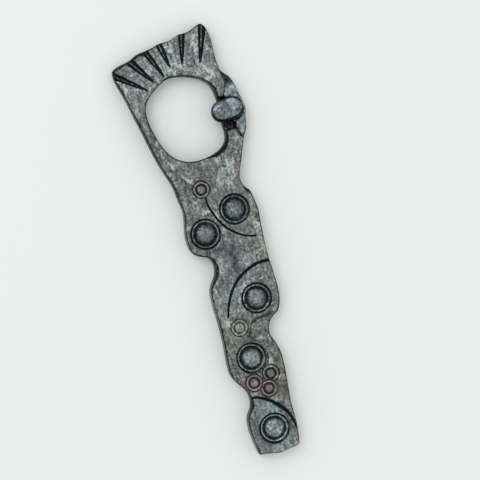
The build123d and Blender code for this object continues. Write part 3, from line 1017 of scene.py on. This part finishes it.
def forged_steel(name, cast):
    """Steel with its dark forge patina rubbed back: mottled, grainy, black where it is sunk and where shade
    is painted.
    """
    nodes = Nodes(name)
    place = nodes.add("ShaderNodeTexCoord").outputs["Object"]
    brushed = nodes.add("ShaderNodeMapping", Vector=place, Rotation=BRUSH_TURN, Scale=BRUSH_SCALE).outputs[0]
    smooth, patina_and_shade, warm, wear_and_painted_light, cool = [nodes.mark(mark) for mark in MARKS]
    grain = nodes.noise(place, 0.9, 4.0, 0.6)
    streaks = nodes.noise(brushed, 0.9, 4.0, 0.6)
    blotches = nodes.noise(place, 2.4, 3.0)
    patches = nodes.noise(place, 7.0, 2.0)
    mottle = nodes.total((grain, 0.6), (streaks, 0.4), (blotches, 0.25), (patches, 0.15), (None, -0.7))
    contrast = nodes.total((smooth, -0.7), (patches, 1.6), (None, 0.2))
    level = nodes.total((mottle, contrast), (wear_and_painted_light, 0.05), (None, 0.5))
    ramp = nodes.add("ShaderNodeValToRGB", Fac=level)
    while len(ramp.color_ramp.elements) < len(STEEL_LEVELS):
        ramp.color_ramp.elements.new(0.5)
    for element, (position, bright) in zip(ramp.color_ramp.elements, STEEL_LEVELS):
        element.position = position
        element.color = (bright, bright, bright, 1.0)
    flecks = nodes.ramp(nodes.noise(brushed, 1.1, 5.0, 0.65, 0.4), 0.54, 0.64)
    flecks = nodes.maths("MULTIPLY", flecks, nodes.ramp(wear_and_painted_light, -0.4, 1.2, 0.1, 0.95))
    flecks = nodes.maths("MULTIPLY", flecks, nodes.total((smooth, -0.7), (None, 1.0)))
    brown = nodes.ramp(nodes.noise(place, 3.2, 3.0), 0.5, 0.75, 0.0, 0.3)
    brown = nodes.maths("MULTIPLY", brown, nodes.total((cool, -0.8), (None, 1.0)))
    colour = nodes.mix(brown, ramp.outputs["Color"], BROWN)
    colour = nodes.mix(flecks, colour, FLECK)
    colour = nodes.mix(nodes.maths("MULTIPLY", warm, 0.35), colour, REDDENED)
    dark = nodes.mix(warm, SUNK_AND_SHADE, SUNK_REDDENED)
    # The dark colour covers both the patina sunk in hollows and the painted shade
    sunk = nodes.total((patina_and_shade, 1.0), (nodes.ramp(grain, 0.4, 0.6, 0.08, -0.08), 1.0))
    colour = nodes.mix(nodes.ramp(sunk, 0.1, 0.95, 0.0, 0.97), colour, dark)
    colour = nodes.mix(1.0, colour, nodes.mix(cool, PLAIN_CAST, COOL_CAST), "MULTIPLY")
    colour = nodes.mix(1.0, colour, cast, "MULTIPLY")
    rough = nodes.total((nodes.ramp(grain, 0.4, 0.6, 0.6, 0.45), 1.0), (smooth, -0.04))
    pits = nodes.add("ShaderNodeBump", Strength=PIT_STRENGTH, Distance=PIT_DEPTH * MM, Height=level)
    finish = {"Base Color": colour, "Metallic": METALLIC, "Specular IOR Level": SPECULAR,
              "Roughness": rough, "Normal": pits.outputs[0]}
    for socket, value in finish.items():
        nodes.plug(value, nodes.shader.inputs[socket])
    return nodes.material


# -------- studio
CAMERA_LEAN = math.radians(15.75)
CAMERA_BACK = (-math.sin(math.radians(9.0)), math.sin(math.radians(3.0)))
CAMERA_DISTANCE = 598.8
CAMERA_AIM = (6.55, -0.1, 6.0)
CAMERA_LENS = 118.8
CAMERA_NEAR = 0.01

# The floor, the sky and the lamp, whose sizes and places are in metres
FLOOR_HALF = 2.0
FLOOR_COLOUR = (0.80, 0.82, 0.812, 1.0)
FLOOR_ROUGHNESS = 0.9
SKY_COLOUR = (1.0, 1.0, 1.0, 1.0)
SKY_STRENGTH = 0.87
KEY_PLACE = (-0.8, 1.1, 1.7)
KEY_SIZE = 1.4
KEY_POWER = 12.0


def add_camera():
    """The photograph's view: nearly straight down, leaning a little to the left and the top."""
    back = Vector((*CAMERA_BACK, math.sqrt(1.0 - CAMERA_BACK[0] ** 2 - CAMERA_BACK[1] ** 2)))
    right = Vector((math.sin(CAMERA_LEAN), math.cos(CAMERA_LEAN), 0.0)).cross(back).normalized()
    up = back.cross(right)
    data = bpy.data.cameras.new("camera")
    data.lens = CAMERA_LENS
    data.clip_start = CAMERA_NEAR
    camera = add_object("camera", data)
    place = (Vector(CAMERA_AIM) + Vector((*DRAWING_SHIFT, 0.0)) + back * CAMERA_DISTANCE) * MM
    camera.matrix_world = Matrix.Translation(place) @ Matrix((right, up, back)).transposed().to_4x4()
    bpy.context.scene.camera = camera


def add_floor():
    """A plain pale table top."""
    corners = [(x * FLOOR_HALF, y * FLOOR_HALF, 0) for x, y in ((-1, -1), (1, -1), (1, 1), (-1, 1))]
    mesh = bpy.data.meshes.new("floor")
    mesh.from_pydata(corners, [], [(0, 1, 2, 3)])
    floor = add_object("floor", mesh)
    nodes = Nodes("pale_floor")
    nodes.plug(FLOOR_COLOUR, nodes.shader.inputs["Base Color"])
    nodes.plug(FLOOR_ROUGHNESS, nodes.shader.inputs["Roughness"])
    mesh.materials.append(nodes.material)


def add_key_lamp():
    """A large soft lamp to the upper left of the view, which points at the opener."""
    data = bpy.data.lights.new("key", "AREA")
    data.shape = "SQUARE"
    data.size = KEY_SIZE
    data.energy = KEY_POWER
    lamp = add_object("key", data)
    lamp.location = KEY_PLACE
    lamp.rotation_euler = Vector(KEY_PLACE).to_track_quat("Z", "Y").to_euler()


def add_sky():
    """Soft white light from all round."""
    world = bpy.data.worlds.new("studio")
    world.use_nodes = True
    sky = world.node_tree.nodes["Background"]
    sky.inputs["Color"].default_value = SKY_COLOUR
    sky.inputs["Strength"].default_value = SKY_STRENGTH
    bpy.context.scene.world = world
    bpy.context.scene.view_settings.view_transform = "Standard"


add_camera()
add_floor()
add_sky()
add_key_lamp()
outer, opening = [even_loop(loop, OUTLINE_STEP) for loop in level_loops("opener_body", OUTLINE_LEVEL)[:2]]
body = build_body([outer, opening])
body.data.materials.append(forged_steel("forged_steel", BODY_CAST))
lug = build_lug()
lug.data.materials.append(forged_steel("lug_steel", LUG_CAST))
for piece, node, finish in ((body, "opener_body", "forged_steel"), (lug, "cap_lug", "lug_steel")):
    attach(piece, "root")
    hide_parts(node)
